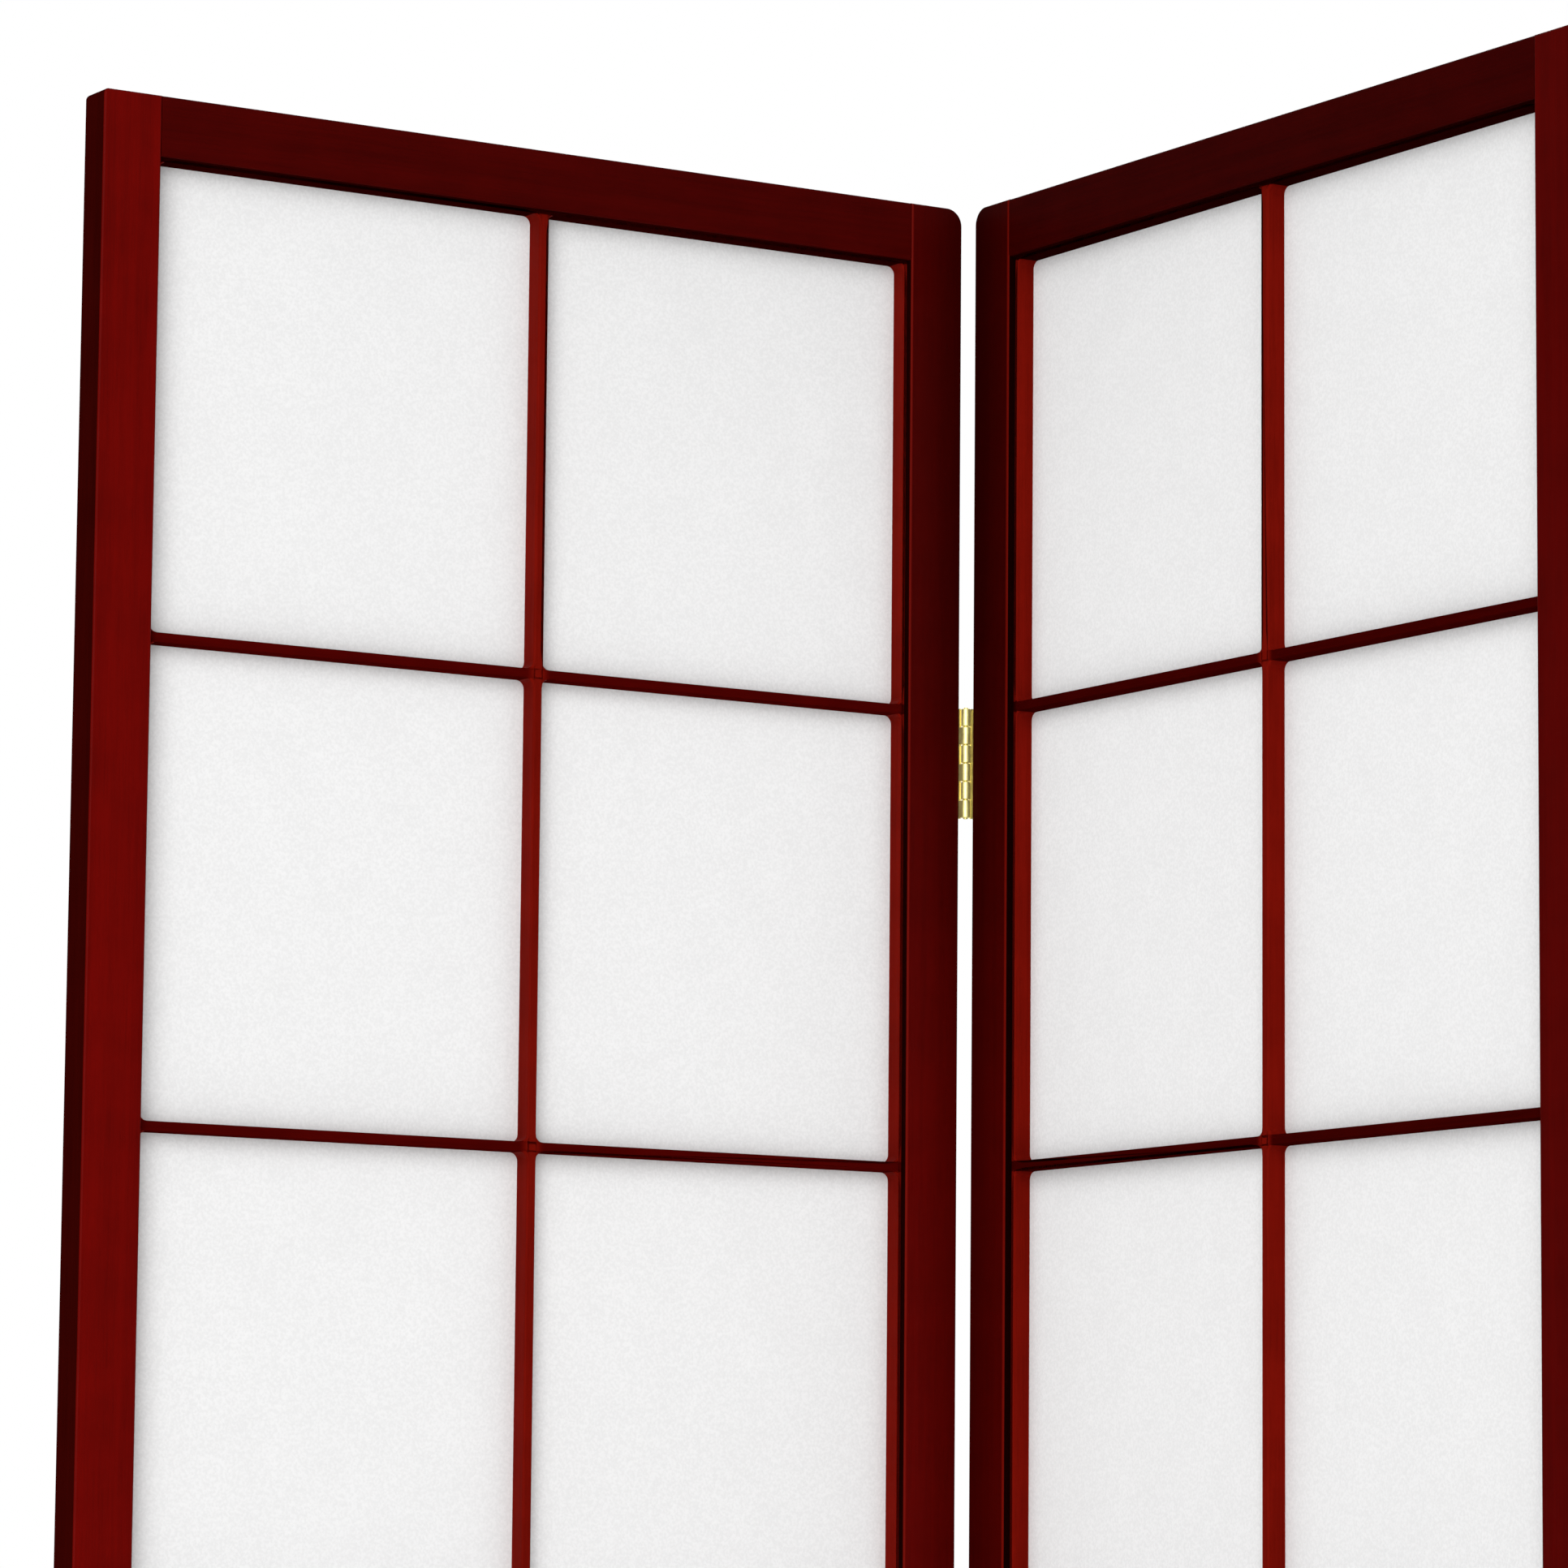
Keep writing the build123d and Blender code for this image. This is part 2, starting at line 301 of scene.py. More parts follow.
def round_edges(piece, wanted, radius, segments):
    """Rounds the edges that pass a test."""
    with editing(piece) as mesh:
        chosen = [edge for edge in mesh.edges if wanted(edge)]
        if not chosen:
            raise RuntimeError(f"{piece.name} has no such edges to round")
        for edge in chosen:
            edge.select_set(True)
        bmesh.update_edit_mesh(piece.data)
        bpy.ops.mesh.bevel(offset=radius, segments=segments, profile=0.5, affect="EDGES")


def block(name, x, y, z):
    """A box between two values of x, of y and of z."""
    spans = (x, y, z)
    bpy.ops.object.select_all(action="DESELECT")
    bpy.ops.mesh.primitive_cube_add(size=1, location=[(a + b) / 2 for a, b in spans])
    piece = bpy.context.object
    piece.name = piece.data.name = name
    piece.scale = [b - a for a, b in spans]
    bpy.ops.object.transform_apply(location=True, rotation=True, scale=True)
    return piece


def rod(name, radius, y, z, sides=40):
    """An upright cylinder on the gap's middle."""
    bpy.ops.object.select_all(action="DESELECT")
    bpy.ops.mesh.primitive_cylinder_add(
        vertices=sides, radius=radius, depth=z[1] - z[0], location=(0, y, (z[0] + z[1]) / 2)
    )
    piece = bpy.context.object
    piece.name = piece.data.name = name
    bpy.ops.object.transform_apply(location=True, rotation=True, scale=True)
    return piece


def joined(pieces):
    """Several pieces as one object, each still its own shell."""
    activate(pieces[0])
    for piece in pieces[1:]:
        piece.select_set(True)
    if len(pieces) > 1:
        bpy.ops.object.join()
    return pieces[0]


def combine(piece, tool, operation):
    """Cuts a tool out of a piece, or adds it, and deletes the tool."""
    activate(piece)
    bpy.ops.object.modifier_add(type="BOOLEAN")
    step = piece.modifiers[-1]
    step.operation = operation
    step.solver = "EXACT"
    step.use_self = True
    step.object = tool
    bpy.ops.object.modifier_apply(modifier=step.name)
    bpy.data.objects.remove(tool)
    return piece


def cut_rabbet(piece):
    """Cuts the step behind the lip, in which the lattice and the beads lie."""
    across, upward = grown(opening(), panel().rabbet)
    rabbet = block("rabbet", across, (panel().lip, 2 * panel().depth), upward)
    combine(piece, rabbet, "DIFFERENCE")


def give_slots(piece, count, choose=lambda face: 0):
    """Makes room for some finishes, and picks the number of one for each face."""
    piece.data.materials.clear()
    for _ in range(count):
        piece.data.materials.append(None)
    for face in piece.data.polygons:
        face.material_index = int(choose(face))


def smoothed(piece):
    """Closes and smooths a piece, with its flat faces kept flat."""
    with editing(piece, "VERT"):
        bpy.ops.mesh.select_all(action="SELECT")
        bpy.ops.mesh.remove_doubles(threshold=MERGED)
        bpy.ops.mesh.normals_make_consistent(inside=False)
    activate(piece)
    bpy.ops.object.shade_smooth_by_angle(angle=SMOOTH_BELOW)
    bpy.ops.object.modifier_add(type="WEIGHTED_NORMAL")
    step = piece.modifiers[-1]
    step.keep_sharp = True
    bpy.ops.object.modifier_apply(modifier=step.name)


def stand(drawn, name, side, body, nodes, finishes):
    """Copies a piece drawn flat, stands the copy in the open V and gives it its finish."""
    piece = drawn.copy()
    piece.data = drawn.data.copy()
    piece.name = piece.data.name = name
    bpy.context.scene.collection.objects.link(piece)
    piece.data.transform(placing(side))
    smoothed(piece)
    for n, made in enumerate(finishes):
        piece.data.materials[n] = made
    if nodes:
        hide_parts(*nodes)
    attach(piece, body)


def discard(piece):
    """Deletes a piece drawn flat, once its copies stand."""
    bpy.data.objects.remove(piece)


# Materials

# Sizes in metres, across the grain and along it.
STREAKS, PORES = (0.007, 0.5), (0.0009, 0.03)
CLOUDS = 0.03

# By the hinges, painted light on the stiles: the distances from a stile's middle height
# between which painted shade darkens it, those from the gap's middle between which that
# painted shade fades, and where a painted highlight along its inner edge starts and is at
# its full, short of the opening.
PAINTED_SHADE_ENDS = (0.39, 0.74)
PAINTED_SHADE_EDGE = (0.002, 0.028)
PAINTED_HIGHLIGHT_LINE = (1.3 * MM, 0.5 * MM)

# How far a crossing's colour is whole inside the upright's edge, and gone outside it.
CROSSING_FADE = (0.5 * MM, 4 * MM)

UPRIGHT_KINDS = ("free_stile", "hinge_stile", "stile_edge", "lip", "muntin", "bead")
GLOSS = {"free_stile": 0.02, "hinge_stile": 0.015, "rail": 0.01, "muntin": 0.006}
RIGHT_GLOSS = 0.3  # the right panel's gloss beside the left's


class Wire:
    """A shader socket that can stand in a sum or a product."""

    def __init__(self, sheet, socket):
        self.sheet = sheet
        self.socket = socket

    def maths(self, operation, a, b):
        """Adds a Math node on two sockets or numbers."""
        return self.sheet.add("ShaderNodeMath", {"operation": operation}, {0: a, 1: b})

    def __add__(self, other):
        return self.maths("ADD", self, other)

    def __radd__(self, other):
        return self.maths("ADD", other, self)

    def __sub__(self, other):
        return self.maths("SUBTRACT", self, other)

    def __rsub__(self, other):
        return self.maths("SUBTRACT", other, self)

    def __mul__(self, other):
        return self.maths("MULTIPLY", self, other)

    def __rmul__(self, other):
        return self.maths("MULTIPLY", other, self)

    def __abs__(self):
        return self.sheet.add("ShaderNodeMath", {"operation": "ABSOLUTE"}, {0: self})

    def between(self, low, high):
        """0 below low, 1 above high and a smooth step from one to the other."""
        settings = {"interpolation_type": "SMOOTHSTEP"}
        limits = {"Value": self, "From Min": low, "From Max": high}
        return self.sheet.add("ShaderNodeMapRange", settings, limits)


class Sheet:
    """The node sheet of a material or a world."""

    def __init__(self, owner):
        owner.use_nodes = True
        self.owner = owner
        self.tree = owner.node_tree
        self.tree.nodes.clear()

    def add(self, kind, settings=None, inputs=None, output=0):
        """Adds a node, with its settings made first, and returns one of its outputs."""
        node = self.tree.nodes.new(kind)
        for key, value in (settings or {}).items():
            setattr(node, key, value)
        for key, value in (inputs or {}).items():
            if isinstance(value, Wire):
                self.tree.links.new(value.socket, node.inputs[key])
            else:
                node.inputs[key].default_value = value
        return Wire(self, node.outputs[output])

    def place(self, side=None, sizes=(1, 1, 1)):
        """Object coordinates along a panel, in units of the sizes on each axis."""
        turn = {"Vector": self.add("ShaderNodeTexCoord", output="Object"), "Scale": sizes}
        if side:
            across = placing(side).to_3x3() @ Vector((1, 0, 0))
            turn["Location"] = placing(side).translation
            turn["Rotation"] = (0, 0, math.atan2(across.y, across.x))
        return self.add("ShaderNodeMapping", {"vector_type": "TEXTURE"}, turn)

    def part(self, vector, axis):
        """One coordinate of a place."""
        return self.add("ShaderNodeSeparateXYZ", None, {"Vector": vector}, axis)

    def noise(self, where, scale=1.0, detail=2.0, roughness=0.5, distortion=0.0):
        """Cloudy noise from 0 to 1."""
        inputs = {"Vector": where, "Scale": scale, "Detail": detail}
        inputs |= {"Roughness": roughness, "Distortion": distortion}
        return self.add("ShaderNodeTexNoise", None, inputs)

    def blend(self, factor, a, b):
        """Goes from one colour to another with a factor."""
        settings = {"data_type": "RGBA"}
        inputs = {0: factor, 6: a, 7: b}
        return self.add("ShaderNodeMix", settings, inputs, 2)

    def bump(self, height, strength, distance):
        """A surface direction that follows a height, over a distance in metres."""
        inputs = {"Height": height, "Strength": strength, "Distance": distance}
        return self.add("ShaderNodeBump", None, inputs)

    def surface(self, inputs):
        """A plain surface shader."""
        return self.add("ShaderNodeBsdfPrincipled", None, inputs)

    def show(self, shader, kind="ShaderNodeOutputMaterial"):
        """Makes a shader the sheet's result, and returns what the sheet belongs to."""
        node = self.tree.nodes.new(kind)
        self.tree.links.new(shader.socket, node.inputs["Surface"])
        return self.owner


def tinted(base, by):
    """A colour made lighter or darker, with alpha."""
    return (*(min(1.0, channel * by) for channel in base), 1.0)


def lacquer(name, base, side, kind, gloss):
    """Red lacquer over straight-grained wood, with the grain along a piece.

    By the hinges the stiles carry painted shade towards their outer edge and their ends, and
    a painted highlight along their inner edge. A cross muntin turns to the upright's colour,
    with its painted sheen, where the two are halved over each other.
    """
    sheet = Sheet(bpy.data.materials.new(name))

    def along_grain(size):
        """Object coordinates in units of a size across the grain and one along it."""
        thin, long = size
        upright = kind in UPRIGHT_KINDS
        return sheet.place(side, (thin, thin, long) if upright else (long, thin, thin))

    streaks = sheet.noise(along_grain(STREAKS), detail=5.0, roughness=0.6, distortion=0.4)
    pores = sheet.noise(along_grain(PORES), detail=3.0, roughness=0.6)
    clouds = sheet.noise(along_grain((CLOUDS, CLOUDS)), detail=4.0, roughness=0.55)
    tone = (
        0.4 * streaks.between(0.32, 0.68)
        + 0.35 * clouds.between(0.3, 0.7)
        + 0.25 * pores.between(0.35, 0.6)
    )
    grain = sheet.blend(tone, tinted(base, 0.78), tinted(base, 1.22))
    where = sheet.place(side)
    across = sheet.part(where, 0)
    # Painted sheen: across a crossing the cross muntin takes the upright's lighter colour.
    if kind == "cross_muntin":
        inside, outside = CROSSING_FADE
        upright_at, half = sum(opening()[0]) / 2, lattice().muntin / 2
        crossing = 1 - abs(across - upright_at).between(half - inside, half + outside)
        grain = sheet.blend(crossing, grain, tinted(finish_colours().muntin, 1.0))
    if kind == "hinge_stile":
        # Painted shade: darker towards the stile's ends and its outer edge, by the fold.
        ends = abs(sheet.part(where, 2) - panel().height / 2).between(*PAINTED_SHADE_ENDS)
        edge = 1 - across.between(*PAINTED_SHADE_EDGE)
        grain = sheet.blend(0.5 * ends + 0.3 * edge, grain, tinted(base, 0.18))
        # Painted highlight: a lighter line along the stile's inner eased edge, where light catches
        # it.
        starts, full = (opening()[0][0] - short for short in PAINTED_HIGHLIGHT_LINE)
        wear_and_painted_highlight = across.between(starts, full) * (0.3 + 0.6 * streaks)
        grain = sheet.blend(wear_and_painted_highlight, grain, tinted(finish_colours().muntin, 1.1))
    height = 0.6 * pores.between(0.38, 0.5) + 0.4 * streaks
    return sheet.show(sheet.surface({
        "Base Color": grain,
        "Roughness": 0.34 - 0.10 * clouds + 0.10 * streaks,
        "Specular IOR Level": gloss,
        "Normal": sheet.bump(height, 0.35, 0.06 * MM),
    }))


def rice_paper(name, base):
    """White paper with a fine tooth, faint clouds and a few long fibres."""
    sheet = Sheet(bpy.data.materials.new(name))
    where = sheet.place()
    tooth = sheet.noise(where, scale=800.0)
    clouds = sheet.noise(where, scale=40.0, detail=5.0, roughness=0.6)
    threads = sheet.noise(where, scale=46.0, detail=1.0, roughness=0.4, distortion=2.5)
    fibres = 1 - abs(threads - 0.5).between(0.0, 0.006)
    tone = 0.4 * clouds + 0.5 * tooth.between(0.3, 0.7) + 0.15 * fibres
    height = 0.6 * tooth + 0.4 * clouds + 0.3 * fibres
    return sheet.show(sheet.surface({
        "Base Color": sheet.blend(tone.between(0.1, 0.9), tinted(base, 0.95), tinted(base, 1.04)),
        "Roughness": 0.9,
        "Specular IOR Level": 0.15,
        "Normal": sheet.bump(height, 0.3, 0.08 * MM),
    }))


def bright_brass(name, base):
    """Bright plated brass, a little uneven from rolling."""
    sheet = Sheet(bpy.data.materials.new(name))
    where = sheet.place()
    rolling = sheet.noise(where, scale=260.0, detail=3.0, roughness=0.6)
    specks = sheet.noise(where, scale=1500.0)
    wear_and_painted_highlight = (0.6 * rolling + 0.4 * specks).between(0.35, 0.7)
    return sheet.show(sheet.surface({
        "Base Color": sheet.blend(wear_and_painted_highlight, tinted(base, 0.9), tinted(base, 1.1)),
        "Metallic": 0.75,
        "Roughness": 0.34 + 0.14 * wear_and_painted_highlight,
        "Normal": sheet.bump(rolling, 0.4, 0.08 * MM),
    }))


def finish(name):
    """A material by its name, made the first time that it is asked for."""
    if name in bpy.data.materials:
        return bpy.data.materials[name]
    colours = finish_colours()
    if name == "rice_paper":
        return rice_paper(name, colours.paper)
    if name == "bright_brass":
        return bright_brass(name, colours.brass)
    kind, side = name.rsplit("_", 1)
    # Painted shade on the right panel, which gets less light; the muntins are left out and keep
    # painted light from the paper beside them.
    tone = colours.right_painted_shade if side == "right" and kind != "muntin" else 1.0
    base = [tone * channel for channel in getattr(colours, kind)]
    gloss = GLOSS.get(kind, 0.0) * (RIGHT_GLOSS if side == "right" else 1.0)
    return lacquer(name, base, side, kind, gloss)


# Operators


class SCREEN_OT_stage(bpy.types.Operator):
    """Make the floor, the lamps and the white surroundings."""

    bl_idname = "screen.stage"
    bl_label = "Stage"

    FLOOR_WIDTH = 60  # metres
    FLOOR_DROP = 1 * MM  # how far the floor lies below the feet
    FLOOR_WHITE = 0.7  # how much of the floor that is seen near the screen is plain white
    FLOOR_FADE = (1.2, 7.0)  # metres from the screen between which the floor turns white
    AMBIENT = 0.34  # strength of the light from all round
    # Name, place, point that it is aimed at, width in metres and power in watts.
    LAMPS = (
        ("key", (0.15, -3.2, 2.6), (0, 0, 0.9), 2.6, 62),
        ("fill", (0.15, -4.0, 0.6), (0, 0, 0.8), 2.8, 62),
        ("back", (-0.4, 3.6, 3.2), (0, 0, 1.0), 2.6, 150),
    )

    def execute(self, context):
        bpy.ops.object.select_all(action="DESELECT")
        bpy.ops.mesh.primitive_plane_add(
            size=self.FLOOR_WIDTH, location=(0, 0, -self.FLOOR_DROP)
        )
        floor = context.object
        floor.name = "studio_floor"
        floor.data.materials.append(self.floor_finish())
        for lamp in self.LAMPS:
            self.lamp(*lamp)
        self.surroundings(context.scene)
        context.scene.view_settings.view_transform = "Standard"
        return {"FINISHED"}

    @staticmethod
    def lamp(name, place, target, size, watts):
        """Adds a soft round lamp."""
        bpy.ops.object.light_add(type="AREA", location=place)
        lamp = bpy.context.object
        lamp.name = name
        lamp.data.shape = "DISK"
        lamp.data.size = size
        lamp.data.energy = watts
        toward = Vector(target) - Vector(place)
        lamp.rotation_euler = toward.to_track_quat("-Z", "Y").to_euler()

    @staticmethod
    def seen_white(sheet):
        """1 for the rays that should meet plain white: seen, mirrored or let through."""
        rays = [
            sheet.add("ShaderNodeLightPath", output=name)
            for name in ("Is Camera Ray", "Is Glossy Ray", "Is Transmission Ray")
        ]
        return rays[0].maths("MAXIMUM", rays[0].maths("MAXIMUM", rays[0], rays[1]), rays[2])

    def floor_finish(self):
        """A plain floor that keeps the screen's shadow and turns white with distance."""
        sheet = Sheet(bpy.data.materials.new("studio_floor"))
        base = (*finish_colours().floor, 1)
        plain = sheet.surface({"Base Color": base, "Roughness": 0.8, "Specular IOR Level": 0.1})
        white = sheet.add("ShaderNodeEmission", None, {"Color": (1, 1, 1, 1), "Strength": 1.0})
        away = sheet.add("ShaderNodeVectorMath", {"operation": "LENGTH"}, {0: sheet.place()}, 1)
        fade = self.FLOOR_WHITE + (1 - self.FLOOR_WHITE) * away.between(*self.FLOOR_FADE)
        share = fade * self.seen_white(sheet)
        mixed = sheet.add("ShaderNodeMixShader", None, {0: share, 1: plain, 2: white})
        return sheet.show(mixed)

    def surroundings(self, scene):
        """Plain white where it is seen or mirrored, and a dimmer light on the screen."""
        sheet = Sheet(bpy.data.worlds.new("studio"))
        strength = self.AMBIENT + (1 - self.AMBIENT) * self.seen_white(sheet)
        inputs = {"Color": (1, 1, 1, 1), "Strength": strength}
        glow = sheet.add("ShaderNodeBackground", None, inputs)
        scene.world = sheet.show(glow, "ShaderNodeOutputWorld")


class SCREEN_OT_camera(bpy.types.Operator):
    """Set up the camera at the photograph's viewing angle."""

    bl_idname = "screen.camera"
    bl_label = "Camera"

    place: bpy.props.FloatVectorProperty(
        name="Place", description="Where the camera stands", default=(0.6192, -2.9346, 1.1076),
        subtype="TRANSLATION",
    )
    yaw: bpy.props.FloatProperty(
        name="Yaw", description="Turn to the right of straight on",
        default=math.radians(-12.884), subtype="ANGLE",
    )
    pitch: bpy.props.FloatProperty(
        name="Pitch", description="Tilt above the horizon",
        default=math.radians(7.363), subtype="ANGLE",
    )
    roll: bpy.props.FloatProperty(
        name="Roll", description="Turn about the line of sight",
        default=math.radians(0.5), subtype="ANGLE",
    )
    lens: bpy.props.FloatProperty(
        name="Lens", description="Focal length on a 36 mm sensor", default=157.98,
    )

    SENSOR = 36  # mm
    CLIP = (0.05, 100)  # metres

    def execute(self, context):
        bpy.ops.object.camera_add(location=self.place)
        camera = context.object
        camera.name = "camera"
        forward = Vector((
            math.sin(self.yaw) * math.cos(self.pitch),
            math.cos(self.yaw) * math.cos(self.pitch),
            math.sin(self.pitch),
        ))
        level = Vector((math.cos(self.yaw), -math.sin(self.yaw), 0))
        upward = level.cross(forward)
        right = level * math.cos(self.roll) + upward * math.sin(self.roll)
        above = upward * math.cos(self.roll) - level * math.sin(self.roll)
        turn = Matrix((right, above, -forward)).transposed()
        camera.rotation_euler = turn.to_euler()
        camera.data.sensor_width = self.SENSOR
        camera.data.lens = self.lens
        camera.data.clip_start, camera.data.clip_end = self.CLIP
        context.scene.camera = camera
        return {"FINISHED"}


class SCREEN_OT_stiles(bpy.types.Operator):
    """Model the stiles, with eased edges, a rounded top corner and the rabbet."""

    bl_idname = "screen.stiles"
    bl_label = "Stiles"

    def execute(self, context):
        sizes = panel()
        inner, free_edge = hinge().barrel, hinge().barrel + sizes.width
        spans = {
            "hinge_stile": (inner, inner + sizes.stile),
            "free_stile": (free_edge - sizes.stile, free_edge),
        }
        corners = {"hinge_stile": sizes.hinge_corner, "free_stile": sizes.free_corner}
        for kind, x in spans.items():
            drawn = block(kind, x, (0, sizes.depth), (0, sizes.height))
            outer = x[0] if kind == "hinge_stile" else x[1]
            round_edges(
                drawn,
                lambda edge: both_at(edge, 0, outer) and both_at(edge, 2, sizes.height),
                corners[kind], segments=10,
            )
            round_edges(
                drawn,
                lambda edge: both_at(edge, 1, 0) or both_at(edge, 1, sizes.depth),
                sizes.edge, segments=4,
            )
            cut_rabbet(drawn)
            toward = 1 if kind == "hinge_stile" else -1

            def finish_of(face):
                """0 on the front and the back, 2 towards the opening and 1 elsewhere."""
                if abs(face.normal.y) > 0.5:
                    return 0
                return 2 if face.normal.x * toward > 0.5 else 1

            # Slot 1 carries painted shade on the sides, slot 2 a darker painted shade on the walls
            # before the lattice.
            give_slots(drawn, 3, finish_of)
            for side in SIDES:
                nodes = [f"{side}_{kind}"]
                kinds = (kind, "stile_edge", "lip")
                finishes = [finish(f"{each}_{side}") for each in kinds]
                stand(drawn, f"{side}_{kind}_wood", side, f"{side}_panel",
                      nodes, finishes)
            discard(drawn)
        return {"FINISHED"}


class SCREEN_OT_rails(bpy.types.Operator):
    """Model the top and bottom rails between the stiles."""

    bl_idname = "screen.rails"
    bl_label = "Rails"

    def execute(self, context):
        sizes = panel()
        across, (low, high) = opening()
        faces = (sizes.setback, sizes.depth - sizes.setback)
        spans = {"top_rail": (high, sizes.height), "bottom_rail": (sizes.foot, low)}
        for kind, z in spans.items():
            drawn = block(kind, across, faces, z)
            round_edges(drawn, lambda edge: runs_along(edge, 0), sizes.edge, segments=4)
            cut_rabbet(drawn)
            # The rails' upper and lower sides take a painted shade.
            give_slots(drawn, 2, lambda face: abs(face.normal.y) < 0.5)
            for side in SIDES:
                finishes = [finish(f"rail_{side}"), finish(f"rail_edge_{side}")]
                stand(drawn, f"{side}_{kind}_wood", side, f"{side}_panel",
                      [f"{side}_{kind}"], finishes)
            discard(drawn)
        return {"FINISHED"}


class SCREEN_OT_lattice(bpy.types.Operator):
    """Model the lattice, with rounded pane corners and softened front edges."""

    bl_idname = "screen.lattice"
    bl_label = "Lattice"

    def execute(self, context):
        sizes = lattice()
        across, upward = grown(opening(), -sizes.rim)
        outer_x, outer_z = grown(opening(), panel().rabbet)
        front, back = panel().lip, panel().lip + sizes.depth
        columns = pane_spans(*across, sizes.columns)
        rows = pane_spans(*upward, sizes.rows)
        drawn = block("lattice", outer_x, (front, back), outer_z)
        combine(drawn, self.panes(columns, rows, (front, back)), "DIFFERENCE")
        self.divide(drawn, 0, columns)
        self.divide(drawn, 2, rows)
        round_edges(
            drawn,
            lambda edge: both_at(edge, 1, front) and self.borders_pane(edge, outer_x, outer_z),
            sizes.edge, segments=4,
        )
        self.split_grain(drawn, rows)
        for side in SIDES:
            nodes = [f"{side}_{place}_rim" for place in BORDERS]
            nodes += [f"{side}_upright_muntin_{n}" for n in range(1, sizes.columns)]
            nodes += [f"{side}_cross_muntin_{n}" for n in range(1, sizes.rows)]
            # The top and bottom rims take the rails' darker side colour as painted shade beside
            # the rails.
            kinds = ("muntin", "cross_muntin", "rail_edge")
            finishes = [finish(f"{kind}_{side}") for kind in kinds]
            stand(drawn, f"{side}_lattice_wood", side, f"{side}_panel",
                  nodes, finishes)
        discard(drawn)
        return {"FINISHED"}

    @staticmethod
    def divide(piece, axis, spans):
        """Scores a piece across just inside some spans, so that its faces end there."""
        normal = [float(i == axis) for i in range(3)]
        for value in [edge for span in grown(spans, -SCORED) for edge in span]:
            with editing(piece):
                bpy.ops.mesh.select_all(action="SELECT")
                point = [value if i == axis else 0 for i in range(3)]
                bpy.ops.mesh.bisect(plane_co=point, plane_no=normal)

    @staticmethod
    def panes(columns, rows, depth):
        """The panes' openings as one tool, with rounded corners."""
        tools = []
        for x in columns:
            for z in rows:
                tool = block("pane", x, (depth[0] - OVERSHOOT, depth[1] + OVERSHOOT), z)
                round_edges(
                    tool, lambda edge: runs_along(edge, 1), lattice().corner, segments=6
                )
                tools.append(tool)
        return joined(tools)

    @staticmethod
    def borders_pane(edge, outer_x, outer_z):
        """Whether an edge lies between the front face and a pane's wall."""
        on_rim = any(both_at(edge, 0, x) for x in outer_x)
        on_rim = on_rim or any(both_at(edge, 2, z) for z in outer_z)
        walls = [face for face in edge.link_faces if abs(face.normal.y) < 0.5]
        return len(walls) == 1 and not on_rim

    @staticmethod
    def split_grain(piece, rows):
        """Gives the faces of the cross muntins the second finish, and the rims' the third."""
        rows = grown(rows, -SCORED)
        bars = list(zip([span[1] for span in rows[:-1]], [span[0] for span in rows[1:]]))

        def finish_of(face):
            z = face.center.z
            if z < rows[0][0] or z > rows[-1][1]:
                return 2
            return any(low < z < high for low, high in bars)

        give_slots(piece, 3, finish_of)


class SCREEN_OT_paper(bpy.types.Operator):
    """Give the paper behind the lattice its finish."""

    bl_idname = "screen.paper"
    bl_label = "Paper"

    def execute(self, context):
        for side in SIDES:
            sheet = frame["nodes"][f"{side}_paper"]
            sheet.data.materials.clear()
            sheet.data.materials.append(finish("rice_paper"))
        return {"FINISHED"}


class SCREEN_OT_beads(bpy.types.Operator):
    """Model the mitred beads that hold the paper from behind."""

    bl_idname = "screen.beads"
    bl_label = "Beads"

    def execute(self, context):
        sizes = panel()
        (x0, x1), (z0, z1) = grown(opening(), sizes.rabbet)
        front = sizes.lip + lattice().depth + lattice().paper
        back = sizes.depth - sizes.bead_setback
        width = sizes.rabbet + sizes.bead
        bpy.ops.object.select_all(action="DESELECT")
        middle = ((x0 + x1) / 2, front, (z0 + z1) / 2)
        bpy.ops.mesh.primitive_plane_add(size=1, location=middle, rotation=(math.pi / 2, 0, 0))
        drawn = context.object
        drawn.scale = (x1 - x0, z1 - z0, 1)
        bpy.ops.object.transform_apply(location=True, rotation=True, scale=True)
        with editing(drawn, "FACE"):
            bpy.ops.mesh.select_all(action="SELECT")
            bpy.ops.mesh.inset(thickness=width)
            bpy.ops.mesh.delete(type="FACE")
            bpy.ops.mesh.select_all(action="SELECT")
            move = {"value": (0, back - front, 0)}
            bpy.ops.mesh.extrude_region_move(TRANSFORM_OT_translate=move)
        inner_x, inner_z = (x0 + width, x1 - width), (z0 + width, z1 - width)
        round_edges(
            drawn,
            lambda edge: both_at(edge, 1, back) and (
                any(both_at(edge, 0, x) for x in inner_x)
                or any(both_at(edge, 2, z) for z in inner_z)
            ),
            sizes.bead_edge, segments=5,
        )
        give_slots(
            drawn, 2,
            lambda face: min(face.center.z - z0, z1 - face.center.z)
            < min(face.center.x - x0, x1 - face.center.x),
        )
        for side in SIDES:
            nodes = [f"{side}_{place}_bead" for place in BORDERS]
            finishes = [finish(f"bead_{side}"), finish(f"cross_bead_{side}")]
            stand(drawn, f"{side}_bead_wood", side, f"{side}_panel",
                  nodes, finishes)
        discard(drawn)
        return {"FINISHED"}


